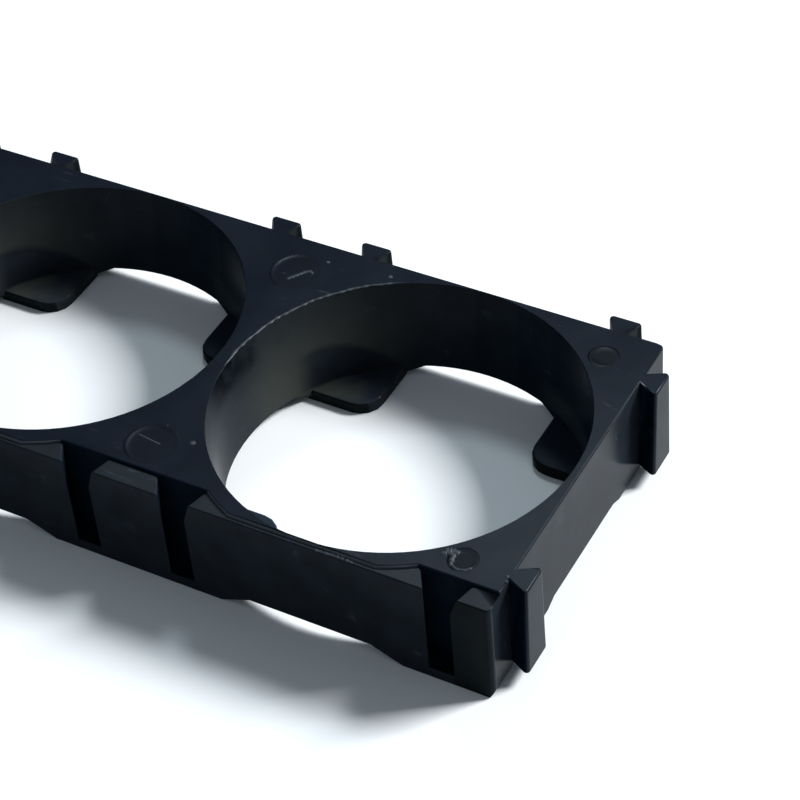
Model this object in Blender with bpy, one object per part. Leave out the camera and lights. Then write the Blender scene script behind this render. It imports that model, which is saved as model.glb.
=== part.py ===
"""Battery cell holder bracket: one injection-moulded strip that holds a row of round cells upright.

The strip runs along X and stands on the XY plane. Each cell drops into a tapered bore from above
and stops on four corner lips. Between the lips, a cross of passages and the relief under each wall
leave room for the connecting strips of metal that are welded to the cells. Dovetail tabs on the
back and the right end slide down into dovetail slots in the front and left end of the next strip.

Strip coordinates: X along the row, Y = 0 on the line through the bore axes, Z = 0 on the base.
"""

import math

import bmesh
import bpy

# Driving dimensions, in millimetres
CELL_COUNT = 3
STRIP_HEIGHT = 11.0
BORE_TOP_DIAMETER = 33.6        # mouth of the bore, at the top face
BORE_TAPER = 0.6                # how much the bore's radius shrinks on its way down to the base
WALL_BETWEEN_CELLS = 1.4        # thinnest wall between two bores, at the top face
WALL_FRONT = 0.55               # thinnest wall in front of a bore, at the top face
WALL_BACK = 0.15                # thinnest wall behind a bore: the mould leaves almost an edge there
CORNER_ROUND = 0.5              # upright corners of the strip
END_CHAMFER_DEPTH = 0.4         # bottom edge of each end face, measured inwards
END_CHAMFER_HEIGHT = 0.8        # bottom edge of each end face, measured upwards

LIP_THICKNESS = 1.15            # corner lips that the cell's end rests on
LIP_CORNER_ROUND = 2.2
LIP_ROOT = 0.4                  # how far a lip reaches into the wall that carries it
PASSAGE_WIDTH = 15.6            # free width between two lips, for a connecting strip
RELIEF_HEIGHT = 1.2             # gap under the walls, where the connecting strips pass
RELIEF_WIDTH = 12.0             # flat roof of a relief
RELIEF_RAMP = 2.9               # run of the slope from a roof down to the base, each side

TAB_DEPTH = 1.9                 # how far a dovetail tab stands out
TAB_NECK = 1.5                  # width of a tab where it leaves the wall, at its top
TAB_WIDTH = 3.5                 # width of a tab at its outer face, at its top
TAB_TAPER = 0.25                # how much wider each flank of a tab stands at its underside
TAB_CORNER_ROUND = 0.35
TAB_LIFT = 1.25                 # underside of a tab, above the base
TAB_SHIFT = 0.35                # tabs sit this far off the slots' centres, clockwise from above
TAB_ROOT = 0.6                  # how far a tab's own solid reaches into the strip
DOVETAIL_INSET = 4.85           # centre of a slot, from the nearer edge of its cell's square

CLEARANCE_NECK = 0.4            # play beside a neighbour's tab in a slot's mouth, each side
CLEARANCE_WIDTH = 0.6           # play beside its outer face, at the slot's back wall, each side
CLEARANCE_DEPTH = 0.05          # play between its outer face and the slot's back wall
CLEARANCE_BELOW = 0.15          # play between its underside and the slot's floor
SLOT_LEAD_IN = 0.7              # extra width at the top of a slot's mouth, on one side only
SLOT_LEAD_IN_DROP = 2.1         # how far down the lead-in reaches, below the rail's top

RAIL_STEP = 0.3                 # the rail that holds the slots is this much lower than the top face
RING_WALL = 1.6                 # full-height ring around each bore, seen from above
RING_EDGE = 0.35                # the ring stops this far behind the front face

PLASTIC_COLOUR = (0.016, 0.019, 0.024, 1.0)
PLASTIC_ROUGHNESS = 0.42
SHARP_ANGLE = math.radians(30)  # edges that turn by more than this stay crisp

BORE_SEGMENTS = 96
ARC_STEPS = 4                   # straight pieces in a rounded corner
OVERSHOOT = 1.0                 # how far a cutter runs past the face that it opens

# Sizes that follow from the driving dimensions, in millimetres
BORE_TOP_RADIUS = BORE_TOP_DIAMETER / 2
BORE_BASE_RADIUS = BORE_TOP_RADIUS - BORE_TAPER
PITCH = BORE_TOP_DIAMETER + WALL_BETWEEN_CELLS
HALF_LENGTH = CELL_COUNT * PITCH / 2
FRONT_Y = -(BORE_TOP_RADIUS + WALL_FRONT)
BACK_Y = BORE_TOP_RADIUS + WALL_BACK
RIGHT_X = HALF_LENGTH
LEFT_X = -HALF_LENGTH
RAIL_TOP = STRIP_HEIGHT - RAIL_STEP
RING_RADIUS = BORE_TOP_RADIUS + RING_WALL
PASSAGE_HALF = PASSAGE_WIDTH / 2
DOVETAIL_OFFSET = PITCH / 2 - DOVETAIL_INSET
SLOT_MOUTH = TAB_NECK + 2 * CLEARANCE_NECK
SLOT_WIDTH = TAB_WIDTH + 2 * CLEARANCE_WIDTH
SLOT_DEPTH = TAB_DEPTH + CLEARANCE_DEPTH
SLOT_FLOOR = TAB_LIFT - CLEARANCE_BELOW
CELL_CENTRES = [(index - (CELL_COUNT - 1) / 2) * PITCH for index in range(CELL_COUNT)]

# The origin lies under the middle of the whole strip, tabs included
ORIGIN_SHIFT_X = -(LEFT_X + RIGHT_X + TAB_DEPTH) / 2
ORIGIN_SHIFT_Y = -(FRONT_Y + BACK_Y + TAB_DEPTH) / 2

MM = 0.001


def clear_scene():
    """Remove whatever objects the file opened with."""
    for old in list(bpy.data.objects):
        bpy.data.objects.remove(old, do_unlink=True)


def rounded_outline(corners):
    """Turn corners (x, y, radius), listed anticlockwise, into an outline with round corners.

    Each corner with a radius becomes an arc that is tangent to both of its sides.
    """
    points = []
    count = len(corners)
    for index, (x, y, radius) in enumerate(corners):
        if radius == 0:
            points.append((x, y))
            continue
        before = corners[index - 1]
        after = corners[(index + 1) % count]
        to_before = math.atan2(before[1] - y, before[0] - x)
        to_after = math.atan2(after[1] - y, after[0] - x)
        opening = (to_before - to_after) % (2 * math.pi)
        turns_out = opening < math.pi
        half = (opening if turns_out else 2 * math.pi - opening) / 2
        bisector = to_after + opening / 2 if turns_out else to_after + opening / 2 + math.pi
        reach = radius / math.sin(half)
        centre = (x + reach * math.cos(bisector), y + reach * math.sin(bisector))
        sweep = math.pi - 2 * half
        middle = bisector + math.pi
        for step in range(ARC_STEPS + 1):
            share = step / ARC_STEPS - 0.5
            angle = middle + (share if turns_out else -share) * sweep
            points.append((centre[0] + radius * math.cos(angle), centre[1] + radius * math.sin(angle)))
    return points


def moved(outline, x, y, quarter_turns=0):
    """Turn an outline by quarter turns about its own origin, then move it to (x, y)."""
    turned = outline
    for _ in range(quarter_turns % 4):
        turned = [(-v, u) for u, v in turned]
    return [(u + x, v + y) for u, v in turned]


def skin(bm, rings):
    """Close a solid through rings of vertices, each with equal numbers of vertices."""
    bm.faces.new(list(reversed(rings[0])))
    bm.faces.new(rings[-1])
    count = len(rings[0])
    for lower, upper in zip(rings, rings[1:]):
        for index in range(count):
            following = (index + 1) % count
            bm.faces.new((lower[index], lower[following], upper[following], upper[index]))


def loft(bm, levels):
    """Close a solid through level outlines, each given as (height, outline), from the lowest up."""
    skin(bm, [[bm.verts.new((x * MM, y * MM, z * MM)) for x, y in outline] for z, outline in levels])


def prism(bm, outline, z_base, z_top):
    """Close a straight-sided solid over one outline."""
    loft(bm, [(z_base, outline), (z_top, outline)])


def turned_outline(radius, x=0.0):
    """Circle about (x, 0), with as many sides as a bore."""
    turn = 2 * math.pi / BORE_SEGMENTS
    return [
        (x + radius * math.cos(turn * side), radius * math.sin(turn * side))
        for side in range(BORE_SEGMENTS)
    ]


def new_object(name, bm, parent):
    """Give the mesh an object of its own, parented to the strip's origin."""
    mesh = bpy.data.meshes.new(name)
    bmesh.ops.recalc_face_normals(bm, faces=bm.faces)
    bm.to_mesh(mesh)
    bm.free()
    piece = bpy.data.objects.new(name, mesh)
    piece.parent = parent
    bpy.context.scene.collection.objects.link(piece)
    return piece


def new_guide(name, bm, parent):
    """An object that only shapes another one: it is drawn as a wire and left out of renders."""
    guide = new_object(name, bm, parent)
    guide.hide_render = True
    guide.display_type = "WIRE"
    return guide


def shape_with(target, guide, operation):
    """Join, cut or intersect the target with a guide."""
    step = target.modifiers.new(guide.name, "BOOLEAN")
    step.operation = operation
    step.solver = "EXACT"
    step.object = guide


def tab_outline(spread):
    """Plan of one tab that leaves a wall along +Y, with the wall's face at y = 0.

    spread widens the tab at each flank.
    """
    neck = TAB_NECK / 2 + spread
    width = TAB_WIDTH / 2 + spread
    plan = rounded_outline([
        (-neck, -TAB_ROOT, 0),
        (neck, -TAB_ROOT, 0),
        (neck, 0, 0),
        (width, TAB_DEPTH, TAB_CORNER_ROUND),
        (-width, TAB_DEPTH, TAB_CORNER_ROUND),
        (-neck, 0, 0),
    ])
    return moved(plan, TAB_SHIFT, 0)


def slot_outline(lead_in):
    """Plan of one slot cut into a wall from -Y, with the wall's face at y = 0.

    The mouth's sides run on straight past the face. lead_in widens the mouth on its +x side.
    """
    mouth = SLOT_MOUTH / 2
    back = SLOT_WIDTH / 2
    return [
        (-mouth, -OVERSHOOT),
        (mouth + lead_in, -OVERSHOOT),
        (mouth + lead_in, 0),
        (back, SLOT_DEPTH),
        (-back, SLOT_DEPTH),
        (-mouth, 0),
    ]


def side_dovetail_centres():
    """X of the two slots that each cell has in the front and, but for their shift, its two back tabs."""
    return [centre + side * DOVETAIL_OFFSET for centre in CELL_CENTRES for side in (-1, 1)]


def end_dovetail_centres():
    """Y of the two slots in the left end and, but for their shift, the two tabs on the right end."""
    return [-DOVETAIL_OFFSET, DOVETAIL_OFFSET]


def block(parent):
    """The strip's block with rounded upright corners."""
    bm = bmesh.new()
    prism(bm, rounded_outline([
        (LEFT_X, FRONT_Y, CORNER_ROUND),
        (RIGHT_X, FRONT_Y, CORNER_ROUND),
        (RIGHT_X, BACK_Y, CORNER_ROUND),
        (LEFT_X, BACK_Y, CORNER_ROUND),
    ]), 0, STRIP_HEIGHT)
    return new_object("cell_holder_bracket", bm, parent)


def tabs(parent):
    """Dovetail tabs: two to a cell along the back, and two on the right end."""
    bm = bmesh.new()
    levels = [(TAB_LIFT, tab_outline(TAB_TAPER)), (STRIP_HEIGHT, tab_outline(0))]
    for x in side_dovetail_centres():
        loft(bm, [(z, moved(plan, x, BACK_Y)) for z, plan in levels])
    for y in end_dovetail_centres():
        loft(bm, [(z, moved(plan, RIGHT_X, y, quarter_turns=3)) for z, plan in levels])
    return new_guide("tabs", bm, parent)


def slots(parent):
    """Cutter for the dovetail slots in the front and the left end, open at the top only."""
    bm = bmesh.new()
    levels = [
        (SLOT_FLOOR, slot_outline(0)),
        (RAIL_TOP - SLOT_LEAD_IN_DROP, slot_outline(0)),
        (RAIL_TOP, slot_outline(SLOT_LEAD_IN)),
        (STRIP_HEIGHT + OVERSHOOT, slot_outline(SLOT_LEAD_IN)),
    ]
    for x in side_dovetail_centres():
        loft(bm, [(z, moved(plan, x, FRONT_Y)) for z, plan in levels])
    for y in end_dovetail_centres():
        loft(bm, [(z, moved(plan, LEFT_X, y, quarter_turns=3)) for z, plan in levels])
    return new_guide("slots", bm, parent)


def bores(parent):
    """Cutter for the tapered bores, run on past both faces at the same taper."""
    bm = bmesh.new()
    slope = BORE_TAPER / STRIP_HEIGHT
    low = BORE_BASE_RADIUS - slope * OVERSHOOT
    high = BORE_TOP_RADIUS + slope * OVERSHOOT
    for x in CELL_CENTRES:
        loft(bm, [(-OVERSHOOT, turned_outline(low, x)), (STRIP_HEIGHT + OVERSHOOT, turned_outline(high, x))])
    return new_guide("bores", bm, parent)


def lips(parent):
    """Four corner lips to a cell: rounded squares, trimmed to a disc a little wider than the bore."""
    bm = bmesh.new()
    outer = BORE_BASE_RADIUS + LIP_ROOT + OVERSHOOT
    square = rounded_outline([
        (PASSAGE_HALF, PASSAGE_HALF, LIP_CORNER_ROUND),
        (outer, PASSAGE_HALF, 0),
        (outer, outer, 0),
        (PASSAGE_HALF, outer, 0),
    ])
    for x in CELL_CENTRES:
        for quarter in range(4):
            prism(bm, moved(square, x, 0, quarter), 0, LIP_THICKNESS)
    corner_lips = new_guide("lips", bm, parent)

    bm = bmesh.new()
    for x in CELL_CENTRES:
        prism(bm, turned_outline(BORE_BASE_RADIUS + LIP_ROOT, x), -OVERSHOOT, LIP_THICKNESS + OVERSHOOT)
    shape_with(corner_lips, new_guide("lip_trim", bm, parent), "INTERSECT")
    return corner_lips


def relief_section():
    """Section across one relief: a flat roof with a slope down to the base at each side."""
    roof = RELIEF_WIDTH / 2
    below = roof + RELIEF_RAMP * (1 + OVERSHOOT / RELIEF_HEIGHT)
    return [(-below, -OVERSHOOT), (below, -OVERSHOOT), (roof, RELIEF_HEIGHT), (-roof, RELIEF_HEIGHT)]


def relief_along_row(parent):
    """Cutter for the relief that runs along the row, under the ends and the walls between cells."""
    bm = bmesh.new()
    ends = [LEFT_X - OVERSHOOT, RIGHT_X + OVERSHOOT]
    skin(bm, [[bm.verts.new((x * MM, y * MM, z * MM)) for y, z in relief_section()] for x in ends])
    return new_guide("relief_along_row", bm, parent)


def relief_across_cells(parent):
    """Cutter for the reliefs that run across the row, under the front and back wall of each cell."""
    bm = bmesh.new()
    ends = [FRONT_Y - OVERSHOOT, BACK_Y + OVERSHOOT]
    for centre in CELL_CENTRES:
        skin(bm, [
            [bm.verts.new(((centre + x) * MM, y * MM, z * MM)) for x, z in relief_section()] for y in ends
        ])
    return new_guide("relief_across_cells", bm, parent)


def end_chamfers(parent):
    """Cutter for the chamfer along the bottom edge of each end face."""
    bm = bmesh.new()
    slope = END_CHAMFER_DEPTH / END_CHAMFER_HEIGHT
    ends = [FRONT_Y - OVERSHOOT, BACK_Y + OVERSHOOT]
    for face, outwards in ((RIGHT_X, 1), (LEFT_X, -1)):
        section = [
            (face - outwards * (END_CHAMFER_DEPTH + slope * OVERSHOOT), -OVERSHOOT),
            (face + outwards * slope * OVERSHOOT, END_CHAMFER_HEIGHT + OVERSHOOT),
            (face + outwards * slope * OVERSHOOT, -OVERSHOOT),
        ]
        skin(bm, [[bm.verts.new((x * MM, y * MM, z * MM)) for x, z in section] for y in ends])
    return new_guide("end_chamfers", bm, parent)


def across_strip(half_length, y_front, y_back):
    """Plan of a rectangle that is centred on x = 0."""
    return [(-half_length, y_front), (half_length, y_front), (half_length, y_back), (-half_length, y_back)]


def rail_step(parent, name, face, half_length, centre, guard_places, quarter_turns):
    """Cutter that lowers one slotted rail by RAIL_STEP, but not the rings around the bores.

    The rail is drawn along -Y, face away from the bore axes, then turned and moved to centre.
    """
    reach = half_length + OVERSHOOT
    bm = bmesh.new()
    rail = across_strip(reach, -face - OVERSHOOT, -face + SLOT_DEPTH)
    prism(bm, moved(rail, centre, 0, quarter_turns), RAIL_TOP, STRIP_HEIGHT + OVERSHOOT)
    step = new_guide(name, bm, parent)

    bm = bmesh.new()
    for x in guard_places:
        prism(bm, turned_outline(RING_RADIUS, x), RAIL_TOP - OVERSHOOT, STRIP_HEIGHT + 2 * OVERSHOOT)
    guard = new_guide(name + "_ring_guard", bm, parent)

    bm = bmesh.new()
    edge = across_strip(reach + OVERSHOOT, -face - 2 * OVERSHOOT, -face + RING_EDGE)
    prism(bm, moved(edge, centre, 0, quarter_turns), RAIL_TOP - 2 * OVERSHOOT, STRIP_HEIGHT + 3 * OVERSHOOT)
    shape_with(guard, new_guide(name + "_edge", bm, parent), "DIFFERENCE")
    shape_with(step, guard, "DIFFERENCE")
    return step


def plastic():
    """Black moulded plastic with a faint blue cast and a soft sheen."""
    material = bpy.data.materials.new("moulded_black")
    material.use_nodes = True
    shader = material.node_tree.nodes["Principled BSDF"]
    shader.inputs["Base Color"].default_value = PLASTIC_COLOUR
    shader.inputs["Roughness"].default_value = PLASTIC_ROUGHNESS
    shader.inputs["Metallic"].default_value = 0.0
    return material


def apply_cuts(piece):
    """Turn the joins and cuts into the piece's own mesh, shaded smooth between its sharp edges."""
    graph = bpy.context.evaluated_depsgraph_get()
    solid = bpy.data.meshes.new_from_object(piece.evaluated_get(graph))
    piece.modifiers.clear()
    piece.data = solid
    solid.name = piece.name
    solid.shade_smooth()
    solid.set_sharp_from_angle(angle=SHARP_ANGLE)


def remove_guides():
    """Drop the guides once their shapes are in the piece."""
    for guide in [thing for thing in bpy.data.objects if thing.display_type == "WIRE"]:
        bpy.data.objects.remove(guide, do_unlink=True)


def build():
    clear_scene()
    origin = bpy.data.objects.new("strip_origin", None)
    origin.location = (ORIGIN_SHIFT_X * MM, ORIGIN_SHIFT_Y * MM, 0)
    bpy.context.scene.collection.objects.link(origin)

    bracket = block(origin)
    shape_with(bracket, end_chamfers(origin), "DIFFERENCE")
    shape_with(bracket, tabs(origin), "UNION")
    shape_with(bracket, relief_along_row(origin), "DIFFERENCE")
    shape_with(bracket, relief_across_cells(origin), "DIFFERENCE")
    shape_with(bracket, bores(origin), "DIFFERENCE")
    shape_with(bracket, lips(origin), "UNION")
    shape_with(bracket, slots(origin), "DIFFERENCE")
    front = rail_step(origin, "front_step", -FRONT_Y, HALF_LENGTH, 0, CELL_CENTRES, 0)
    shape_with(bracket, front, "DIFFERENCE")
    first_cell = CELL_CENTRES[0]
    left = rail_step(origin, "left_step", first_cell - LEFT_X, -FRONT_Y, first_cell, [first_cell], 3)
    shape_with(bracket, left, "DIFFERENCE")

    bracket.data.materials.append(plastic())
    apply_cuts(bracket)
    remove_guides()


build()
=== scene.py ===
# %% [markdown]
# # A battery cell holder bracket
#
# One strip of black plastic that holds a row of round battery cells upright, dressed for a
# product picture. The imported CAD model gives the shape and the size. Everything here is in
# metres in the CAD's own frame: +X along the row of cells, +Y towards the tabbed back, +Z up.

import math

import bmesh
import bpy
import numpy as np
from mathutils import Matrix


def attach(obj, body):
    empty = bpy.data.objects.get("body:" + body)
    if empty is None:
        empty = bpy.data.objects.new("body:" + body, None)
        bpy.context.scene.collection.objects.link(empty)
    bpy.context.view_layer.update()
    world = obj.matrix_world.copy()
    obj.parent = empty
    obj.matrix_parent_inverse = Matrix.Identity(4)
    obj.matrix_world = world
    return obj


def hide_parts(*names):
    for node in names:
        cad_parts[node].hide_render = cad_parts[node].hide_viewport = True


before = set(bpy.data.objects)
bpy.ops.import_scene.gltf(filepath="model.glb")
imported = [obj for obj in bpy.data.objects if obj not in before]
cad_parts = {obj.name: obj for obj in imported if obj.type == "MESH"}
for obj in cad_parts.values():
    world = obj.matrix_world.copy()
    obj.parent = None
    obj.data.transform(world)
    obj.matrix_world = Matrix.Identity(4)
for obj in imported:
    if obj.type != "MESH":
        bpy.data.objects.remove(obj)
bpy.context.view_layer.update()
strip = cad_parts["cell_holder_bracket"]
MM = 0.001

# %% The strip's own sizes, in mm
STRIP_X, STRIP_Y = -0.95, -0.75      # the middle cell's axis; the tabs push it off the origin
PITCH = 35.0
CELL_X = STRIP_X + PITCH * np.array([-1.0, 0.0, 1.0])
BORE_RADIUS = 16.8                   # at the top face
TOP = 11.0
RAIL = 10.7                          # the slotted rail's top
BACK_FACE = STRIP_Y + 16.95
FRONT_FACE = STRIP_Y - 17.35
RIGHT_FACE = STRIP_X + 1.5 * PITCH
LEFT_FACE = RIGHT_FACE - 3 * PITCH
POST_SIDE = 47.85                    # x of the right post's left side
OVER_LIPS = 1.2                      # just higher than the corner lips
INSIDE_WALLS = BORE_RADIUS - 0.9     # nearer to a cell's axis than any wall
print("cell axes at x =", CELL_X.tolist(), "mm")

# %% [markdown]
# ## The camera
#
# The picture was taken from the right and from well above, with a long lens close by, so the near
# end looks larger than the far one. The camera's place is worked out from where it looks, from
# which side, how steeply, and how far off. Its roll tips the strip slightly.

# %% Camera
AIM = (33.565, 0.413, 11.0)          # mm, on the top face beside the right cell's axis
FROM_RIGHT = math.radians(31.83)     # turned from the front towards the right end
ABOVE = math.radians(43.06)
ROLL = math.radians(-5.19)
DISTANCE = 213.83                    # mm, from the aim to the lens
LENS, SENSOR = 111.1, 36.0           # mm
NEAREST = 0.01                       # m; anything closer to the lens isn't drawn

away = np.array([
    math.sin(FROM_RIGHT) * math.cos(ABOVE),
    -math.cos(FROM_RIGHT) * math.cos(ABOVE),
    math.sin(ABOVE),
])
level = np.array([math.cos(FROM_RIGHT), math.sin(FROM_RIGHT), 0.0])
upright = np.cross(away, level)
right = math.cos(ROLL) * level + math.sin(ROLL) * upright
upward = np.cross(away, right)
place = (np.array(AIM) + DISTANCE * away) * MM

camera = bpy.data.objects.new("camera", bpy.data.cameras.new("camera"))
bpy.context.scene.collection.objects.link(camera)
pose = np.eye(4)
pose[:3, 0], pose[:3, 1], pose[:3, 2], pose[:3, 3] = right, upward, away, place
camera.matrix_world = Matrix(pose.tolist())
camera.data.lens = LENS
camera.data.sensor_width = SENSOR
camera.data.clip_start = NEAREST
bpy.context.scene.camera = camera
print("camera at", np.round(place / MM, 1), "mm")

# %% [markdown]
# ## The moulded strip
#
# An injection mould can't leave a knife edge: where its cutter has run, every outer corner of the
# plastic comes out slightly round, and it is this thin round that catches the light. The CAD
# solid has sharp corners, so a copy of it is rounded here. The copy keeps the flat faces where
# they are. First the loose triangles are joined, and flat neighbours are made one face. The front
# of the right post is then cut free from the rest of the front, since its finish is different.

# %% Join loose triangles
GRID = 0.001 * MM                    # corners closer than this are one corner


def read_array(collection, field, width, kind=np.float32):
    """One field of a whole Blender collection as a table with the given number of columns."""
    values = np.empty(len(collection) * width, kind)
    collection.foreach_get(field, values)
    return values.reshape(-1, width)


def joined_triangles(node):
    """Corners and faces of a node whose triangles share no corners yet.

    Every corner is snapped to a fine grid. Equal rows of that table are one corner, and each
    triangle's three old numbers are swapped for the numbers of its rows.
    """
    places = read_array(node.data.vertices, "co", 3)
    corners = read_array(node.data.loops, "vertex_index", 1, np.int32).reshape(-1, 3)
    snapped = np.round(places / GRID).astype(np.int64)
    cells, number = np.unique(snapped, axis=0, return_inverse=True)
    return cells * GRID, number.reshape(-1)[corners]


points, triangles = joined_triangles(strip)
moulding_mesh = bpy.data.meshes.new("moulding")
moulding_mesh.from_pydata(points.tolist(), [], triangles.tolist())
print("joined", 3 * len(triangles), "corners into", len(points))

# %% Flat faces, and the post's front cut free
FLAT = math.radians(0.5)             # faces that turn by less become one face
FACES_FRONT = -0.999                 # y of a front face's normal, at most
TOUCHING = 1e-8                      # m

joined = bmesh.new()
joined.from_mesh(moulding_mesh)
bmesh.ops.dissolve_limit(joined, angle_limit=FLAT, verts=joined.verts, edges=joined.edges)
front_faces = (face for face in joined.faces if face.normal.y < FACES_FRONT)
front_face = max(front_faces, key=lambda face: face.calc_area())
bmesh.ops.bisect_plane(joined, geom=[front_face, *front_face.edges, *front_face.verts],
                       dist=TOUCHING, plane_co=(POST_SIDE * MM, 0, 0), plane_no=(1, 0, 0))
joined.to_mesh(moulding_mesh)
joined.free()
moulding = bpy.data.objects.new("moulding", moulding_mesh)
bpy.context.scene.collection.objects.link(moulding)
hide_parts("cell_holder_bracket")
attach(moulding, "root")
print("moulding:", len(moulding_mesh.vertices), "corners,", len(moulding_mesh.polygons), "faces")

# %% [markdown]
# ## Which edges are round
#
# Only edges that stick out are rounded, each by its own amount: the right front corner, the lips
# and the dovetail tabs most. The bores' rims and the top back edge are nearly sharp, because there
# the mould's core shuts off against its plate, and so are the upright edges of tabs and slots. An
# edge sticks out when the face on its other side falls away below the first face. The step down
# to the slotted rail is soft, so its upper edge gets a wide round.

# %% Edge table
CREASE = math.radians(28)            # edges that turn by less belong to one smooth surface


def edge_table(mesh):
    """For every edge: its two ends, how far its faces turn (radians), and whether it sticks out.

    Loops are sorted by their edge, so each edge's two loops lie side by side. The direction that
    leads from the edge into the second face is that face's normal crossed with the loop's own
    direction. Where it points below the first face, the edge sticks out.
    """
    places = read_array(mesh.vertices, "co", 3)
    ends = read_array(mesh.edges, "vertices", 2, np.int32)
    normals = read_array(mesh.polygons, "normal", 3)
    starts = read_array(mesh.polygons, "loop_start", 1, np.int32)[:, 0]
    sizes = read_array(mesh.polygons, "loop_total", 1, np.int32)[:, 0]
    loop_edge = read_array(mesh.loops, "edge_index", 1, np.int32)[:, 0]
    loop_vert = read_array(mesh.loops, "vertex_index", 1, np.int32)[:, 0]
    loop_face = np.repeat(np.arange(len(sizes)), sizes)
    following = np.arange(len(loop_edge)) + 1
    following[starts + sizes - 1] = starts
    along = places[loop_vert[following]] - places[loop_vert]
    first, second = np.argsort(loop_edge, kind="stable").reshape(-1, 2).T
    inward = np.cross(normals[loop_face[second]], along[second])
    cosine = np.sum(normals[loop_face[first]] * normals[loop_face[second]], axis=1)
    turn = np.arccos(np.clip(cosine, -1.0, 1.0))
    sticks_out = np.sum(normals[loop_face[first]] * inward, axis=1) < 0
    return places[ends], turn, sticks_out


edge_ends, edge_turn, edge_out = edge_table(moulding_mesh)
print("edges that turn by more than 28 degrees:", int((edge_turn > CREASE).sum()))

# %% What kind each edge is
HAIR, NEAR = 0.01, 0.05              # mm; closer than this is on the face, or beside it
STEP_ZONE = STRIP_Y - 13.0           # mm; the step to the rail lies in front of this
FOOT_HEIGHT, UPRIGHT_LENGTH = 0.3, 2.0   # mm; foot edges reach lower, upright ones are longer
CHAMFER_START = 52.05                # mm from the strip's middle, on its underside


def from_nearest_axis(x, y):
    """How far places lie from the nearest cell's axis: along x, along y, and straight."""
    along = x - CELL_X[np.abs(x[:, None] - CELL_X).argmin(axis=1)]
    across = y - STRIP_Y
    return along, across, np.hypot(along, across)


ends_x, ends_y, ends_z = np.moveaxis(edge_ends / MM, 2, 0)
middle_x, middle_y, middle_z = (edge_ends / MM).mean(axis=1).T
off_axis = from_nearest_axis(middle_x, middle_y)[2]
on_top = ends_z.min(axis=1) > TOP - HAIR
stands_up = np.ptp(ends_z, axis=1) > UPRIGHT_LENGTH
on_front = np.abs(ends_y - FRONT_FACE).max(axis=1) < HAIR

rim = on_top & (np.abs(off_axis - BORE_RADIUS) < 0.1)
back_edge = on_top & (np.abs(middle_y - BACK_FACE) < HAIR)
tab = (middle_y > BACK_FACE + HAIR) | (middle_x > RIGHT_FACE + HAIR)
foot = ends_z.min(axis=1) < FOOT_HEIGHT
lip = (middle_z < OVER_LIPS) & (off_axis < INSIDE_WALLS) & ~foot
step_top = on_top & ~rim & (middle_y < STEP_ZONE) & (middle_y > FRONT_FACE + HAIR)
corner = on_front & (np.abs(ends_x - RIGHT_FACE).max(axis=1) < HAIR)
at_chamfer = np.abs(np.abs(ends_x - STRIP_X) - CHAMFER_START).min(axis=1) < NEAR
back_foot = ((ends_z < HAIR) & (np.abs(ends_y - BACK_FACE) < HAIR)).any(axis=1)
print("edges: rims", rim.sum(), "tabs", tab.sum(), "feet", foot.sum(), "lips", lip.sum())

# %% Round each edge by its own amount
WIDEST = 0.4                         # mm, the round of an edge whose weight is 1
ROUNDS = [                           # kind and mm; the first kind that fits holds
    (at_chamfer & back_foot, 0.0),   # at the back corners' foot the edges are left sharp
    (rim, 0.06),
    (back_edge, 0.05),
    (corner, 0.35),
    (stands_up & (tab | on_front), 0.07),
    (foot, 0.08),
    (lip, 0.28),
    (step_top, 0.25),
    (tab, 0.26),
]
OTHER_ROUND = 0.14

kinds, amounts = zip(*ROUNDS)
round_mm = np.select(kinds, amounts, OTHER_ROUND)
crease = edge_turn > CREASE
weight = np.where(crease & edge_out, round_mm / WIDEST, 0.0).astype(np.float32)
weights = moulding_mesh.attributes.new("bevel_weight_edge", "FLOAT", "EDGE")
weights.data.foreach_set("value", weight)
inner_corner = crease & ~edge_out
sharp = moulding_mesh.attributes.new("sharp_edge", "BOOLEAN", "EDGE")
sharp.data.foreach_set("value", inner_corner)
moulding_mesh.polygons.foreach_set("use_smooth", np.ones(len(moulding_mesh.polygons), bool))
print("rounded edges:", int((weight > 0).sum()), "inner corners:", int(inner_corner.sum()))

# %% Rounding modifiers
rounding = moulding.modifiers.new("rounded_edges", "BEVEL")
rounding.width = WIDEST * MM
rounding.segments = 3
rounding.limit_method = "WEIGHT"
rounding.use_clamp_overlap = False
shading = moulding.modifiers.new("flat_faces_shade_flat", "WEIGHTED_NORMAL")
shading.keep_sharp = True
shading.weight = 80
print("rounded by up to", max(amounts), "mm")

# %% [markdown]
# ## Black moulded plastic
#
# The plastic is near black with a blue cast, and its gloss differs with the mould's finish: the
# walls were drawn along polished steel and mirror the floor, and the top face is more satin. Flat
# black would look like a hole in the picture. Four noises bring it to life: slow flow marks that
# shift the gloss and bend the mirrored edges a little, a faint mottling of the black, fine grain
# from the steel, and thin scuffs that show paler. All of them read the strip's own coordinates,
# so they stay put from any side.
#
# A real plastic has an index of refraction near 1.5. Here it is lower, 1.035 to 1.3, because on
# this bright floor the real value mirrors more white than the picture shows.

# %% Small helpers for material nodes


def add_node(tree, kind, fields=None, **sockets):
    """A new node. `fields` are its own settings; sockets take a number or a node's output.

    A socket is given by its name, with _ for a space, or as _ and its number.
    """
    node = tree.nodes.new(kind)
    for field, value in (fields or {}).items():
        setattr(node, field, value)
    for name, value in sockets.items():
        key = int(name[1:]) if name[0] == "_" else name.replace("_", " ")
        if isinstance(value, bpy.types.NodeSocket):
            tree.links.new(value, node.inputs[key])
        else:
            node.inputs[key].default_value = value
    return node


def noise(tree, place, scale, detail=2.0, distortion=0.0):
    """Smooth noise between 0 and 1; `scale` is in bumps to the metre."""
    return add_node(tree, "ShaderNodeTexNoise", Vector=place, Scale=scale, Detail=detail,
                    Distortion=distortion).outputs["Fac"]


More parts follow.
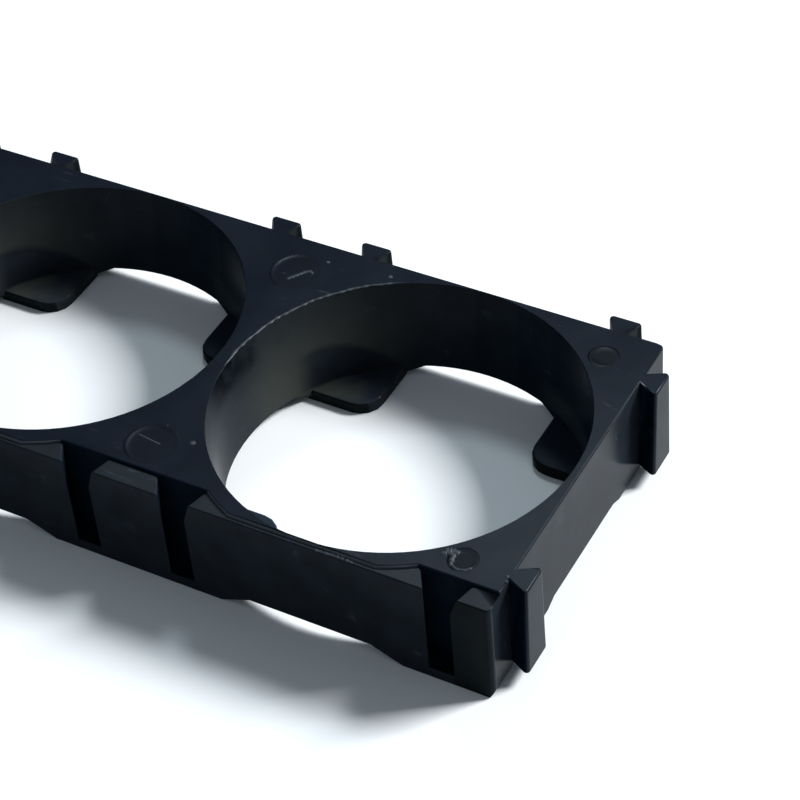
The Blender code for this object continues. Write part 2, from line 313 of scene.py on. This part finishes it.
def ramp(tree, value, start, end, low=0.0, high=1.0):
    """Low up to `start`, high from `end` on, and a soft S between them."""
    return add_node(tree, "ShaderNodeMapRange", {"interpolation_type": "SMOOTHSTEP"}, Value=value,
                    _1=start, _2=end, _3=low, _4=high).outputs["Result"]


def by_height(tree, z, heights, low=0.0, high=1.0):
    """The same ramp over the height, between two heights in mm."""
    return ramp(tree, z, heights[0] * MM, heights[1] * MM, low, high)


def combine(tree, rule, first, second):
    """Two numbers joined by one of the Math node's rules."""
    return add_node(tree, "ShaderNodeMath", {"operation": rule}, _0=first, _1=second).outputs[0]


def times(tree, *values):
    """The product of several numbers."""
    product = values[0]
    for value in values[1:]:
        product = combine(tree, "MULTIPLY", product, value)
    return product


def wrap(tree, value, highest, lowest):
    """The value moved by whole turns until it lies between the two."""
    return add_node(tree, "ShaderNodeMath", {"operation": "WRAP"}, _0=value, _1=highest,
                    _2=lowest).outputs[0]


def blend_numbers(tree, amount, first, second):
    """The first number where the amount is 0, and the second where it is 1."""
    return add_node(tree, "ShaderNodeMix", {"data_type": "FLOAT"}, _0=amount, _2=first,
                    _3=second).outputs[0]


def blend_colours(tree, amount, first, second):
    """The first colour where the amount is 0, and the second where it is 1."""
    node = add_node(tree, "ShaderNodeMix", {"data_type": "RGBA"}, _0=amount)
    for socket, value in ((node.inputs[6], first), (node.inputs[7], second)):
        if isinstance(value, bpy.types.NodeSocket):
            tree.links.new(value, socket)
        else:
            socket.default_value = (*value, 1.0)
    return node.outputs[2]


print("helpers ready")

# %% Black plastic
BLACK_WALL = (0.0112, 0.0145, 0.0195)
BLACK_TOP = (0.0022, 0.0043, 0.0094)
PALE_SCUFF = (0.034, 0.040, 0.046)
DARKEST, PALEST = 0.87, 1.14         # the mottling, as shares of the black
FLOW_SCALE, CLOUD_SCALE = 95, 420    # bumps to the metre, and so for the next two
SCUFF_SCALE, GRAIN_SCALE = 260, 2600
SCUFF_TURN, SCUFF_SQUEEZE = (0.3, 0.2, 0.6), (1.0, 6.0, 2.0)
SCUFF_SHOWS, SCUFF_DULLS = 0.5, 0.12   # share of the pale colour; added to the roughness
FLOW_BUMP = 0.05 * MM
GRAIN_BUMP = 0.0016 * MM


def plastic_nodes(name, black, ior, satin, spread):
    """Black plastic with flow marks, grain and scuffs; the roughness is satin plus or minus spread.

    Returns what a richer finish goes on from: the material, its place, its colour and its gloss.
    """
    material = bpy.data.materials.new(name)
    material.use_nodes = True
    tree = material.node_tree
    shader = tree.nodes["Principled BSDF"]
    shader.inputs["IOR"].default_value = ior
    place = tree.nodes.new("ShaderNodeTexCoord").outputs["Object"]
    flow = noise(tree, place, FLOW_SCALE, 2.0, 0.6)
    cloud = noise(tree, place, CLOUD_SCALE, 3.0)
    grain = noise(tree, place, GRAIN_SCALE, 2.0)
    stretched = add_node(tree, "ShaderNodeMapping", Vector=place, Rotation=SCUFF_TURN,
                         Scale=SCUFF_SQUEEZE).outputs["Vector"]
    thin = ramp(tree, noise(tree, stretched, SCUFF_SCALE, 4.0, 0.4), 0.62, 0.72)
    scuff = times(tree, thin, ramp(tree, cloud, 0.48, 0.62))
    mottle = blend_colours(tree, ramp(tree, cloud, 0.3, 0.7), [v * DARKEST for v in black],
                           [v * PALEST for v in black])
    colour = blend_colours(tree, times(tree, scuff, SCUFF_SHOWS), mottle, PALE_SCUFF)
    gloss = combine(tree, "ADD", ramp(tree, flow, 0.3, 0.7, satin - spread, satin + spread),
                    times(tree, scuff, SCUFF_DULLS))
    tree.links.new(colour, shader.inputs["Base Color"])
    tree.links.new(gloss, shader.inputs["Roughness"])
    waves = add_node(tree, "ShaderNodeBump", Strength=1.0, Distance=FLOW_BUMP, Height=flow)
    fine = add_node(tree, "ShaderNodeBump", Strength=1.0, Distance=GRAIN_BUMP, Height=grain,
                    Normal=waves.outputs["Normal"])
    tree.links.new(fine.outputs["Normal"], shader.inputs["Normal"])
    return material, place, colour, gloss


def black_plastic(name, black, ior, satin, spread):
    """The same plastic with nothing more on it."""
    return plastic_nodes(name, black, ior, satin, spread)[0]


top_plastic = black_plastic("moulded_top", BLACK_TOP, 1.24, 0.30, 0.055)
print("material", top_plastic.name)

# %% [markdown]
# ## Painted light and shade in the bores
#
# The walls have light and shade painted on them. A pale olive colour is painted light on the left
# back of each bore and on the lips there, where the walls catch the light, but not just above the
# back left lip: there a painted shade stands for the lip's dark reflection. A cooler painted light
# lies low over the back right lip. On the left, a streak of painted shade runs under the rim, and
# the wall is rubbed dull towards its top.
#
# Each is a colour or a roughness laid where the angle around the cell's axis and the height say
# so, faded at its borders and broken up by noise. One cell's pattern serves all three bores,
# because x is wrapped every 35 mm.

# %% Where on a bore's wall a place is
BORE_EDGE = (17.0, 17.3)             # mm from the axis; what is laid in a bore fades out here


def in_bore_terms(tree, place):
    """Angle around the nearest cell's axis, 1 inside its bore and 0 outside, and the height."""
    x, y, z = add_node(tree, "ShaderNodeSeparateXYZ", Vector=place).outputs
    x = wrap(tree, combine(tree, "SUBTRACT", x, STRIP_X * MM), 0.5 * PITCH * MM, -0.5 * PITCH * MM)
    y = combine(tree, "SUBTRACT", y, STRIP_Y * MM)
    angle = wrap(tree, combine(tree, "ARCTAN2", y, x), 2 * math.pi, 0.0)
    squared = combine(tree, "ADD", times(tree, x, x), times(tree, y, y))
    inner, outer = ((edge * MM) ** 2 for edge in BORE_EDGE)
    return angle, ramp(tree, squared, inner, outer, 1.0, 0.0), z


def window(tree, angle, starts, full, fades, ends):
    """1 between two angles, with a soft S at both sides; the four angles are in degrees."""
    starts, full, fades, ends = (math.radians(a) for a in (starts, full, fades, ends))
    return times(tree, ramp(tree, angle, starts, full), ramp(tree, angle, fades, ends, 1.0, 0.0))


print("a bore's pattern repeats every", PITCH, "mm")

# %% The painted light, less its patch of painted shade
# Painted light: a pale olive colour on the lit left back of each bore and on its lips.
PAINTED_LIGHT = (0.037, 0.0405, 0.0365)
PAINTED_LIGHT_ANGLES = (106, 142, 163, 181)
PAINTED_LIGHT_HEIGHTS, PAINTED_LIGHT_AT_TOP = (3.0, 12.0), 0.3
OFF_LIP = (1.25, 1.45)               # mm; between these the lips' top ends and the wall starts
# Painted shade: the patch above the back left lip stands for the lip's dark reflection.
SHADE_TOP, SHADE_ARCH = (5.0, 6.0), 4.5   # mm; where the patch ends, and how its border arches
SHADE_MIDDLE, SHADE_HALF = math.radians(148), math.radians(30)
SHADE_LEFT, SHADE_FADE = math.radians(155), (0.13, 0.03)   # the left end; radians before and after
BLOTCH_SCALE, BREAK_SCALE = 300, 160   # bumps to the metre


def bore_painted_light(tree, place, angle, inside, z):
    """How much painted light: an angle window, times height, times noise, less the shaded patch.

    The painted shade patch above the lip has a parabola over the angle as its upper border.
    """
    light_share = times(tree, window(tree, angle, *PAINTED_LIGHT_ANGLES), inside,
                 by_height(tree, z, PAINTED_LIGHT_HEIGHTS, 1.0, PAINTED_LIGHT_AT_TOP))
    aside = add_node(tree, "ShaderNodeMapRange", {"clamp": False}, Value=angle, _1=SHADE_MIDDLE,
                     _2=SHADE_MIDDLE + SHADE_HALF, _3=0.0, _4=1.0).outputs["Result"]
    above = combine(tree, "ADD", z, times(tree, aside, aside, SHADE_ARCH * MM))
    off_lip = by_height(tree, z, OFF_LIP)
    shade_patch = times(tree, by_height(tree, above, SHADE_TOP, 1.0, 0.0),
                 ramp(tree, angle, SHADE_LEFT - SHADE_FADE[0], SHADE_LEFT + SHADE_FADE[1], 1.0, 0.0),
                 off_lip)
    blotch = ramp(tree, noise(tree, place, BLOTCH_SCALE, 3.0), 0.36, 0.66, 0.2, 1.1)
    broken = ramp(tree, noise(tree, place, BREAK_SCALE, 3.0), 0.25, 0.6, 0.6, 1.0)
    return times(tree, light_share, combine(tree, "SUBTRACT", 1.0, shade_patch), broken,
                 blend_numbers(tree, off_lip, blotch, 1.0))


print("film from", PAINTED_LIGHT_ANGLES[0], "to", PAINTED_LIGHT_ANGLES[-1], "degrees")

# %% Wall plastic with all that is on it
# Painted light: a cooler pale patch low over the back right lip.
LIGHT_OVER_LIP = (0.031, 0.040, 0.050)
LIGHT_OVER_LIP_ANGLES, LIGHT_OVER_LIP_HEIGHTS, LIGHT_OVER_LIP_AT_FOOT = (22, 42, 56, 74), (2.6, 5.0), 0.75
# Painted shade: a dark streak under the left rim.
RIM_SHADE = (0.0010, 0.0022, 0.0036)
RIM_SHADE_ANGLES, RIM_SHADE_HEIGHTS = (166, 175, 190, 203), (7.2, 9.0)
RUBBED = 0.16                        # added to the roughness
RUBBED_ANGLES, RUBBED_HEIGHTS = (160, 178, 222, 240), (3.0, 9.5)
WALL_SPREAD = 0.025


def wall_plastic(name, ior, satin, black=BLACK_WALL):
    """The walls' plastic with its painted light, the painted shade under the rim, and the rubbed
    part.
    """
    material, place, colour, gloss = plastic_nodes(name, black, ior, satin, WALL_SPREAD)
    tree = material.node_tree
    shader = tree.nodes["Principled BSDF"]
    angle, inside, z = in_bore_terms(tree, place)
    colour = blend_colours(tree, bore_painted_light(tree, place, angle, inside, z), colour, PAINTED_LIGHT)
    light_over_lip = times(tree, window(tree, angle, *LIGHT_OVER_LIP_ANGLES), inside,
                  by_height(tree, z, LIGHT_OVER_LIP_HEIGHTS, LIGHT_OVER_LIP_AT_FOOT, 0.0),
                  by_height(tree, z, OFF_LIP))
    colour = blend_colours(tree, light_over_lip, colour, LIGHT_OVER_LIP)
    rim_shade = times(tree, window(tree, angle, *RIM_SHADE_ANGLES), inside,
                   by_height(tree, z, RIM_SHADE_HEIGHTS),
                   ramp(tree, noise(tree, place, CLOUD_SCALE, 3.0), 0.36, 0.52, 0.35, 1.0))
    tree.links.new(blend_colours(tree, rim_shade, colour, RIM_SHADE), shader.inputs["Base Color"])
    rubbed = times(tree, window(tree, angle, *RUBBED_ANGLES), inside,
                   by_height(tree, z, RUBBED_HEIGHTS), RUBBED)
    tree.links.new(combine(tree, "ADD", gloss, rubbed), shader.inputs["Roughness"])
    return material


polished_wall = wall_plastic("moulded_walls", 1.095, 0.17)
print("material", polished_wall.name)

# %% [markdown]
# ## Which face has which finish
#
# The rail's top is paler than the face above it. The low step between them is paler still:
# painted light, where its thin wall would mirror the shadowed floor. The slots are drawn by narrow
# blades that wear rough, so their walls are duller, and their darker black is painted shade in
# these recesses. The lips' tops are satin, and their paler blue black is painted light in their
# shade; the flanks of the end tabs hardly shine, and their near black is painted shade. The right
# post's front is duller, and its darker black is painted shade for the shadowed floor it mirrors;
# the back tabs' right sides and the lips' front edges, which look the same, share this painted
# shade. Each bore's right back is duller than its left, in four small steps, and its darker black
# is painted shade. A face's direction and place say which finish it gets.

# %% The other finishes
rail_plastic = black_plastic("moulded_rail", (0.0095, 0.0125, 0.0165), 1.24, 0.34, 0.04)
# Painted light: the step's pale black keeps its thin wall from showing the shadow it mirrors.
step_light_plastic = black_plastic("step_painted_light", (0.042, 0.050, 0.062), 1.24, 0.34, 0.04)
# Painted shade: the slots' darker black stands for the shade in these recesses.
slot_shade_plastic = black_plastic("slot_painted_shade", (0.0036, 0.0076, 0.0138), 1.06, 0.42, 0.04)
# Painted light: the lips' paler blue black lifts them where they lie in shade.
lip_light_plastic = wall_plastic("lips_painted_light", 1.14, 0.30, (0.0150, 0.0215, 0.0335))
# Painted shade: a darker black, for the shadowed floor that these faces mirror.
post_shade_plastic = black_plastic("post_painted_shade", (0.0070, 0.0098, 0.0108), 1.065, 0.26, 0.03)
# Painted shade: the end tabs' flanks are near black, as they lie in shade.
tab_side_shade_plastic = black_plastic("tab_sides_painted_shade", (0.0014, 0.0040, 0.0085), 1.035, 0.40, 0.03)
# Duller steps, and their darker black is painted shade on each bore's right back.
DULLED_SHADE = [                           # degrees below which it holds, IOR, roughness, black
    (105, 1.088, 0.20, (0.0098, 0.0140, 0.0195)),
    (92, 1.076, 0.23, (0.0082, 0.0132, 0.0197)),
    (78, 1.062, 0.26, (0.0066, 0.0125, 0.0200)),
    (62, 1.045, 0.30, (0.0054, 0.0118, 0.0202)),
]
dull_shade_walls = [wall_plastic("bore_dulled_shade_%d" % below, *finish) for below, *finish in DULLED_SHADE]

WALL, TOP_FACE, RAIL_TOP, STEP, SLOT, LIP, POST, TAB_SIDE, FIRST_DULL_SHADE = range(9)
for finish in [polished_wall, top_plastic, rail_plastic, step_light_plastic, slot_shade_plastic, lip_light_plastic,
               post_shade_plastic, tab_side_shade_plastic, *dull_shade_walls]:
    moulding_mesh.materials.append(finish)
print("finishes:", len(moulding_mesh.materials))

# %% Where each face is, and which way it looks
SLOT_DEEP = 2.1                      # mm, a little more than the slots' depth
CORNER_X, CORNER_Y = 51.5, 16.5      # mm from the strip's middle; beyond both lies a corner

normal_x, normal_y, normal_z = read_array(moulding_mesh.polygons, "normal", 3).T
face_x, face_y, face_z = (read_array(moulding_mesh.polygons, "center", 3) / MM).T
faces_up, faces_side = normal_z > 0.95, np.abs(normal_z) < 0.5
along_x, along_y, from_axis = from_nearest_axis(face_x, face_y)
around_axis = np.degrees(np.arctan2(along_y, along_x))
in_bore = faces_side & (from_axis < BORE_RADIUS + NEAR) & (from_axis > INSIDE_WALLS)

behind_front, from_left = face_y - FRONT_FACE, face_x - LEFT_FACE
in_slot = (behind_front > NEAR) & (behind_front < SLOT_DEEP) & (face_x < RIGHT_FACE - 0.1)
in_slot |= (from_left > NEAR) & (from_left < SLOT_DEEP) & (face_y < BACK_FACE - 0.1)
at_corner = np.abs(face_x - STRIP_X) >= CORNER_X
at_corner &= np.abs(face_y - 0.5 * (BACK_FACE + FRONT_FACE)) >= CORNER_Y
print("faces in bores:", in_bore.sum(), "within a slot's depth:", in_slot.sum())

# %% Give each face its finish
is_top = faces_up & (face_z > TOP - 0.1)
is_rail = faces_up & (face_z > TOP - 0.5) & ~is_top
is_step = faces_side & (face_z > TOP - 0.25)
is_slot = in_slot & faces_side & ~at_corner & ~is_step & ~in_bore & (face_z > OVER_LIPS)
is_lip = faces_up & (face_z < OVER_LIPS) & (from_axis < BORE_RADIUS)
post_front = (np.abs(behind_front) < NEAR) & (normal_y < -0.9) & (face_x > POST_SIDE)
tab_right = faces_side & (face_y > BACK_FACE + NEAR) & (normal_x > 0.2) & (normal_y < 0.5)
lip_front = (face_z < OVER_LIPS) & (from_axis < INSIDE_WALLS) & (normal_y < -0.8)
is_tab_side = faces_side & (face_x > RIGHT_FACE + NEAR) & (normal_y < -0.2) & (normal_x < 0.5)
is_dulled_shade = in_bore & (around_axis > 5) & (around_axis < DULLED_SHADE[0][0])
dull_shade_number = FIRST_DULL_SHADE - 1 + sum((around_axis < below).astype(int) for below, *_ in DULLED_SHADE)

finish_number = np.select(
    [is_top, is_rail, is_step, is_slot, is_lip, post_front | tab_right | lip_front, is_tab_side,
     is_dulled_shade],
    [TOP_FACE, RAIL_TOP, STEP, SLOT, LIP, POST, TAB_SIDE, dull_shade_number], WALL)
moulding_mesh.polygons.foreach_set("material_index", finish_number.astype(np.int32))
print("faces of each finish:", np.bincount(finish_number).tolist())

# %% [markdown]
# ## Marks that the mould left
#
# Round pins push the strip out of its mould, and each leaves a shallow ring on the top face. The
# plate's own engraving leaves small raised strokes. Along the rim of the right bore and on the
# rail in front of it, a thin ragged burr stands where two steel parts didn't quite shut. Beside
# one pin a bit of such flash is torn up, and small nibs are left where air could escape. They
# could be painted on, but a real edge, however low, catches the light when the view turns. Each is
# a surface worked out on a grid of two parameters, laid just into the face below it. Marks are
# made only where the picture shows them.

# %% Grids of points
RIGHT_AXIS = np.array([CELL_X[2], STRIP_Y])   # mm; marks are measured from the right cell's axis


def grid_faces(rows, columns, closed):
    """Quads between neighbouring points of a grid; closed joins the last column to the first."""
    across = np.arange(columns if closed else columns - 1)
    row, column = np.meshgrid(np.arange(rows - 1), across, indexing="ij")
    beside = (column + 1) % columns
    corners = [row * columns + column, row * columns + beside,
               (row + 1) * columns + beside, (row + 1) * columns + column]
    return np.stack(corners, axis=-1).reshape(-1, 4)


def place_piece(name, points_mm, faces, material):
    """Make an object from a table of points in mm and lists of faces; it rides on the strip."""
    mesh = bpy.data.meshes.new(name)
    mesh.from_pydata((points_mm * MM).tolist(), [], faces)
    mesh.polygons.foreach_set("use_smooth", np.ones(len(mesh.polygons), bool))
    mesh.materials.append(material)
    mesh.update()
    piece = bpy.data.objects.new(name, mesh)
    bpy.context.scene.collection.objects.link(piece)
    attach(piece, "root")
    print(name + ":", len(points_mm), "points,", len(faces), "faces")


print("marks are measured from", RIGHT_AXIS.tolist(), "mm")

# %% Pin marks
PIN_OUT = np.array([0.30, 0.16, 0.06, -0.02, -0.12, -0.24, -0.45, -0.75])     # mm from the ring
PIN_UP = np.array([-0.020, 0.010, 0.030, 0.036, 0.026, 0.011, 0.006, 0.006])  # mm above the face
PIN_RING = PIN_UP != PIN_UP[-1]      # the rest of the profile is the floor
PIN_STRONG = math.radians(150)       # each ring stands highest on its left back
PIN_HIGHEST, PIN_LOWEST = 1.5, 0.1   # shares of the profile's height
PIN_RIPPLE, PIN_OVAL = 0.12, 0.015
PIN_STEPS = 64

pin_plastic = black_plastic("pin_mark_plastic", [v * 0.6 for v in BLACK_TOP], 1.195, 0.34, 0.03)
faint_plastic = black_plastic("faint_pin_plastic", [v * 0.8 for v in BLACK_TOP],
                              1.228, 0.31, 0.045)


def pin_mark(name, centre, radius, seed, weakest, material):
    """A low ring with a flat floor, turned about the pin's axis.

    A point's distance from the axis is the radius, made slightly oval, plus the profile's own
    offset, and its height is the profile's height. The ring's height swells to 1.5 times at the
    left back and falls to `weakest` on the other side, with a ripple of three waves; it never
    falls below a tenth. The floor keeps its own height.
    """
    _, ripple_phase, oval_phase = np.random.default_rng(seed).uniform(0, 2 * np.pi, 3)
    turn = np.linspace(0, 2 * np.pi, PIN_STEPS, endpoint=False)
    wave = weakest + (PIN_HIGHEST - weakest) * 0.5 * (1 + np.cos(turn - PIN_STRONG))
    wave = wave + PIN_RIPPLE * np.sin(3 * turn + ripple_phase)
    reach = radius * (1 + PIN_OVAL * np.sin(2 * turn + oval_phase)) + PIN_OUT[:, None]
    height = PIN_UP[:, None] * np.where(PIN_RING[:, None], np.clip(wave, PIN_LOWEST, None), 1.0)
    x = RIGHT_AXIS[0] + centre[0] + reach * np.cos(turn)
    y = RIGHT_AXIS[1] + centre[1] + reach * np.sin(turn)
    points = np.stack([x, y, TOP + height], axis=-1).reshape(-1, 3)
    faces = grid_faces(len(PIN_OUT), PIN_STEPS, True).tolist()
    floor_ring = ((len(PIN_OUT) - 1) * PIN_STEPS + np.arange(PIN_STEPS)).tolist()
    place_piece(name, points, faces + [floor_ring], material)


pin_mark("pin_mark_right_back", (13.2, 13.45), 1.2, 1, 0.2, pin_plastic)
pin_mark("pin_mark_right_front", (13.15, -13.35), 1.15, 2, 0.2, pin_plastic)
pin_mark("pin_mark_web_back", (-17.5, 12.5), 2.3, 3, -0.2, faint_plastic)
pin_mark("pin_mark_web_front", (-17.45, -12.4), 2.25, 4, -0.2, faint_plastic)

# %% Ridges
ACROSS = np.linspace(-1, 1, 7)
SUNK = 0.012                         # mm; how far a ridge's foot lies below the face
PINCHED = 0.05                       # the least share of its size that `ragged` leaves a ridge
WAVES, COARSEST = 8, 3               # how many waves, and the fewest of one along the path
SWELL, TAPER = 2.0, 4                # how much the waves matter; how fast the ends fade
# The ridges' pale colour is torn, whitened plastic, and it also paints the highlight along the
# burrs.
torn_plastic_and_highlight = black_plastic("torn_plastic_and_highlight", (0.036, 0.043, 0.052), 1.3, 0.4, 0.05)


def ridge(name, path, width, height, seed, ragged, finest=34, level=TOP):
    """A low half-round ridge carried along a path on a level face.

    Sideways the points run from minus to plus half the width, and they rise by the height times
    one minus the square of that share. Both fade to nothing at the path's ends, and `ragged` lets
    random waves, fewer than `finest` to the path, swell and pinch them.
    """
    share = np.linspace(0, 1, len(path))
    along = np.gradient(path, axis=0)
    side = np.stack([-along[:, 1], along[:, 0]], axis=1)
    side = side / np.linalg.norm(along, axis=1)[:, None]
    random = np.random.default_rng(seed)
    count, phase = random.integers(COARSEST, finest, WAVES), random.uniform(0, 2 * np.pi, WAVES)
    waves = np.sin(2 * np.pi * share[:, None] * count + phase)
    swell = 1 + ragged * waves.mean(axis=1) * SWELL
    fade = np.clip(np.sin(np.pi * share) * TAPER, 0, 1) * np.clip(swell, PINCHED, None)
    sideways = 0.5 * width * fade[:, None] * ACROSS
    flat = path[:, None, :] + side[:, None, :] * sideways[:, :, None] + RIGHT_AXIS
    up = level - SUNK + (height * fade[:, None] + SUNK) * (1 - ACROSS ** 2)
    points = np.concatenate([flat, up[:, :, None]], axis=-1).reshape(-1, 3)
    faces = grid_faces(len(path), len(ACROSS), False).tolist()
    place_piece(name, points, faces, torn_plastic_and_highlight)


def smooth_path(corners, count):
    """Points evenly spread along a line through the given corners."""
    corners = np.asarray(corners, float)
    reach = np.concatenate([[0], np.cumsum(np.linalg.norm(np.diff(corners, axis=0), axis=1))])
    even = np.linspace(0, reach[-1], count)
    return np.stack([np.interp(even, reach, column) for column in corners.T], axis=1)


print("a ridge is", len(ACROSS), "points wide")

# %% Burrs, strokes and torn flash
RIM_STARTS, RIM_ENDS = 116, 185      # degrees around the right cell's axis
BEHIND_RIM = 0.11                    # mm
RIDGES = [  # name, points, width, height, seed, ragged, finest, level, corners of the path in mm
    ("back_stroke", 40, 0.34, 0.07, 6, 0.5, 34, TOP,
     [(-17.75, 11.1), (-17.15, 11.95), (-16.6, 12.75), (-16.25, 13.0), (-15.75, 12.7)]),
    ("front_stroke", 40, 0.2, 0.05, 7, 0.5, 34, TOP,
     [(-19.2, -11.9), (-17.8, -12.1), (-16.6, -12.25)]),
    ("torn_flash_long", 50, 0.46, 0.13, 8, 0.3, 11, TOP,
     [(11.1, -13.6), (11.6, -13.2), (12.2, -13.2), (12.3, -13.8), (12.5, -14.45)]),
    ("torn_flash_short", 30, 0.62, 0.10, 9, 0.2, 7, TOP,
     [(11.3, -13.05), (11.9, -12.85), (12.6, -12.8)]),
    ("pin_lip", 30, 0.24, 0.06, 10, 0.35, 9, TOP,
     [(12.5, -14.25), (13.1, -14.5), (13.8, -14.3), (14.25, -13.8)]),
    ("rail_burr", 50, 0.28, 0.06, 12, 0.7, 34, RAIL,
     [(1.2, -17.18), (2.4, -17.15), (3.6, -17.05), (4.4, -17.12), (5.2, -17.16)]),
]

around = np.radians(np.linspace(RIM_STARTS, RIM_ENDS, 360))
wander = 0.03 * np.sin(around * 23) + 0.02 * np.sin(around * 57 + 1)   # mm, in two waves
rim_radius = BORE_RADIUS + BEHIND_RIM + wander
rim_path = np.stack([np.cos(around), np.sin(around)], axis=1) * rim_radius[:, None]
ridge("rim_burr", rim_path, 0.24, 0.045, 5, 0.45)
for name, count, width, height, seed, ragged, finest, face_level, corners in RIDGES:
    ridge(name, smooth_path(corners, count), width, height, seed, ragged, finest, face_level)

# %% Nibs
NIBS = np.array([                    # mm from the right cell's axis: x, y, radius, height
    (-15.4, 14.8, 0.20, 0.05), (-9.1, 15.3, 0.22, 0.05), (-14.2, -10.9, 0.26, 0.04),
    (17.2, -13.5, 0.16, 0.05), (17.35, -14.0, 0.12, 0.04), (-17.35, -10.0, 0.10, 0.03),
])
NIB_ROWS, NIB_STEPS = 5, 14
NIB_SUNK = 0.01                      # mm
NIB_CAP = 0.12                       # radians from the dome's axis, where its flat cap starts


def nibs(name, table):
    """Low domes on the top face.

    A point's distance from its dome's axis is the radius times a sine, and it rises by the height
    times the cosine of the same angle. The angle runs from a right angle almost to nothing.
    """
    rise = np.linspace(0.5 * np.pi, NIB_CAP, NIB_ROWS)
    turn = np.linspace(0, 2 * np.pi, NIB_STEPS, endpoint=False)
    x, y, radius, height = (column[:, None, None] for column in table.T)
    flat = radius * np.sin(rise)[:, None]
    px = RIGHT_AXIS[0] + x + flat * np.cos(turn)
    py = RIGHT_AXIS[1] + y + flat * np.sin(turn)
    pz = TOP - NIB_SUNK + (height + NIB_SUNK) * np.cos(rise)[:, None] + np.zeros_like(px)
    points = np.stack([px, py, pz], axis=-1).reshape(-1, 3)
    block = NIB_ROWS * NIB_STEPS
    first = np.arange(len(table)) * block
    sides = grid_faces(NIB_ROWS, NIB_STEPS, True) + first[:, None, None]
    caps = first[:, None] + block - NIB_STEPS + np.arange(NIB_STEPS)
    place_piece(name, points, sides.reshape(-1, 4).tolist() + caps.tolist(), torn_plastic_and_highlight)


nibs("nibs", NIBS)

# %% [markdown]
# ## Floor and light
#
# The floor is plain white paper. Black gloss is seen mostly by what it mirrors, so the lights are
# placed for that: the main light stands behind on the right, so the right end mirrors a bright
# floor, and the front mirrors the strip's own shadow and stays dark. A small cool light further
# round puts the soft sheen on the right end of the top face. The pale sky fills the rest.

# %% Floor
HALF_FLOOR = 3.0                     # m
PAPER_WHITE, PAPER_ROUGHNESS = (0.91, 0.91, 0.91, 1), 0.38

floor_corners = HALF_FLOOR * np.array([(-1, -1, 0), (1, -1, 0), (1, 1, 0), (-1, 1, 0)])
floor_mesh = bpy.data.meshes.new("floor")
floor_mesh.from_pydata(floor_corners.tolist(), [], [(0, 1, 2, 3)])
floor = bpy.data.objects.new("floor", floor_mesh)
bpy.context.scene.collection.objects.link(floor)
paper = bpy.data.materials.new("floor_paper")
paper.use_nodes = True
paper_shader = paper.node_tree.nodes["Principled BSDF"]
paper_shader.inputs["Base Color"].default_value = PAPER_WHITE
paper_shader.inputs["Roughness"].default_value = PAPER_ROUGHNESS
floor_mesh.materials.append(paper)
print("floor", 2 * HALF_FLOOR, "m wide")

# %% Lights
LAMP_DISTANCE = 0.9                  # m from the strip
SKY, SKY_STRENGTH = (0.76, 0.89, 1.0, 1), 0.25


def soft_light(name, azimuth, elevation, size, watts, colour):
    """A square light that faces the strip; azimuth is turned from +X towards +Y, in degrees."""
    lamp = bpy.data.lights.new(name, "AREA")
    lamp.size = size
    lamp.energy = watts
    lamp.color = colour
    around, above = math.radians(azimuth), math.radians(elevation)
    towards = np.array([
        math.cos(above) * math.cos(around),
        math.cos(above) * math.sin(around),
        math.sin(above),
    ])
    side = np.array([-math.sin(around), math.cos(around), 0.0])
    pose = np.eye(4)
    pose[:3, 0], pose[:3, 1], pose[:3, 2] = side, np.cross(towards, side), towards
    pose[:3, 3] = towards * LAMP_DISTANCE
    light = bpy.data.objects.new(name, lamp)
    light.matrix_world = Matrix(pose.tolist())
    bpy.context.scene.collection.objects.link(light)
    print(name, "light at", np.round(pose[:3, 3], 2).tolist(), "m")


soft_light("main", 40, 39, 0.24, 12.7, (0.94, 0.975, 1.0))
soft_light("sheen", 110, 56, 0.15, 1.2, (0.74, 0.90, 1.0))

world = bpy.data.worlds.new("studio")
world.use_nodes = True
background = world.node_tree.nodes["Background"]
background.inputs["Color"].default_value = SKY
background.inputs["Strength"].default_value = SKY_STRENGTH
bpy.context.scene.world = world
bpy.context.scene.view_settings.view_transform = "Standard"
